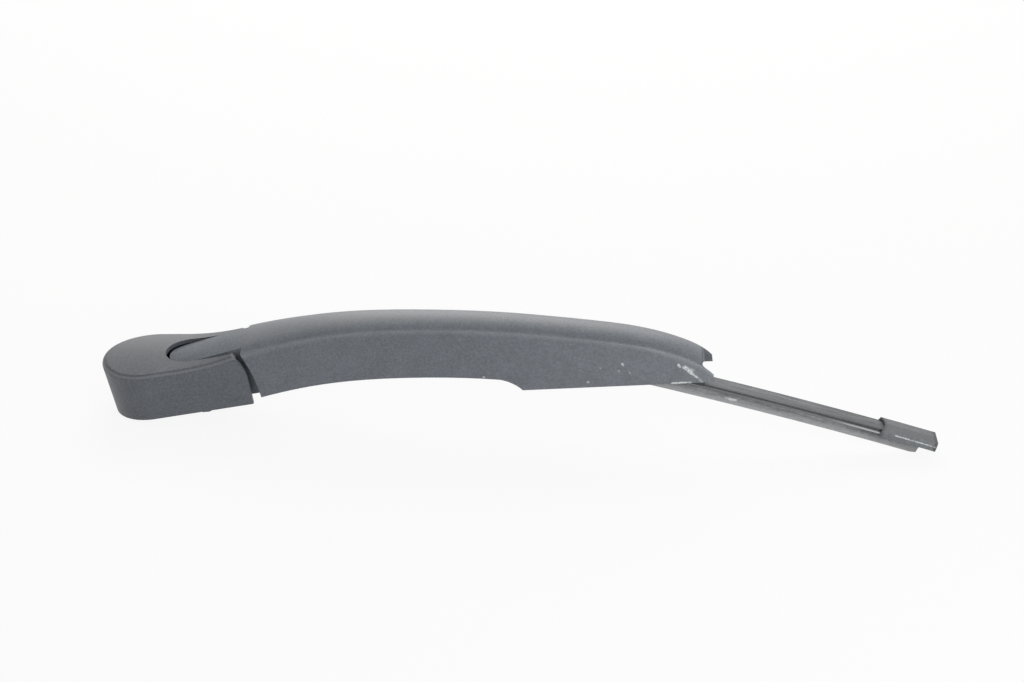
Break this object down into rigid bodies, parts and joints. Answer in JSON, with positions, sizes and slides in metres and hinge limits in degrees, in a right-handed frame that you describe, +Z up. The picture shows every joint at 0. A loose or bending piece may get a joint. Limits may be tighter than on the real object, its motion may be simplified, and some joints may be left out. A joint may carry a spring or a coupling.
{
  "type": "wiper arm",
  "caption": "Sprung rear wiper arm with a round head cover, a curved channel-shaped arm that lifts on a hinge, and a flat blade that rocks on a pin at its tip.",
  "frame": {"origin": "on the axis of the spindle's bore, at the foot of the head", "axes": "+X along the arm to its tip, +Z up the spindle's axis, -Y to the near side of the picture"},
  "size_m": [0.3953, 0.0444, 0.104],
  "materials": {
    "moulding": "fine-textured satin dark grey, slightly bluish, with light scuffs",
    "end_cap": "satin dark grey",
    "strip": "satin neutral dark grey",
    "rail": "spring steel, dull, with a bright edge",
    "rubber": "dull dark grey",
    "casting": "as cast",
    "steel": "zinc plated",
    "spring_steel": "drawn wire",
    "bush": "natural acetal",
    "bracket": "black coated steel",
    "clip": "black acetal"
  },
  "bodies": {
    "head": {"head_casting": "casting", "hinge_pin": "steel", "hook_pin": "steel"},
    "cap": {"head_cap": "moulding"},
    "arm": {"arm_shell": "moulding", "hinge_bush_near": "bush", "hinge_bush_far": "bush", "spring_anchor_pin": "steel", "blade_pivot_pin": "steel"},
    "spring_link": {"spring_hook": "steel", "tension_spring": "spring_steel"},
    "blade": {"blade_bracket": "bracket", "pivot_clip": "clip", "spoiler_outer": "strip", "spoiler_inner": "strip", "flexor_rail_near": "rail", "flexor_rail_far": "rail", "wiper_rubber": "rubber", "end_cap_outer": "end_cap", "end_cap_inner": "end_cap"}
  },
  "joints": [
    {"name": "arm_lift", "type": "hinge", "parent": "head", "child": "arm", "pos_m": [0.027, 0, 0.0148], "axis": [0, -1, 0], "range_deg": [0, 45], "deforming": ["tension_spring"]},
    {"name": "hook_swing", "type": "hinge", "parent": "head", "child": "spring_link", "pos_m": [0.01989, 0, 0.01112], "axis": [0, -1, 0], "range_deg": [0, 42]},
    {"name": "blade_pivot", "type": "hinge", "parent": "arm", "child": "blade", "pos_m": [0.2577, 0, -0.00872], "axis": [0, -1, 0], "range_deg": [0, 30]},
    {"name": "cap_pull", "type": "slide", "parent": "head", "child": "cap", "axis": [-1, 0, 0], "range_m": [0, 0.075]}
  ],
  "couplings": [
    {"joint": "hook_swing", "follows": "arm_lift", "ratio": 0.9225}
  ]
}
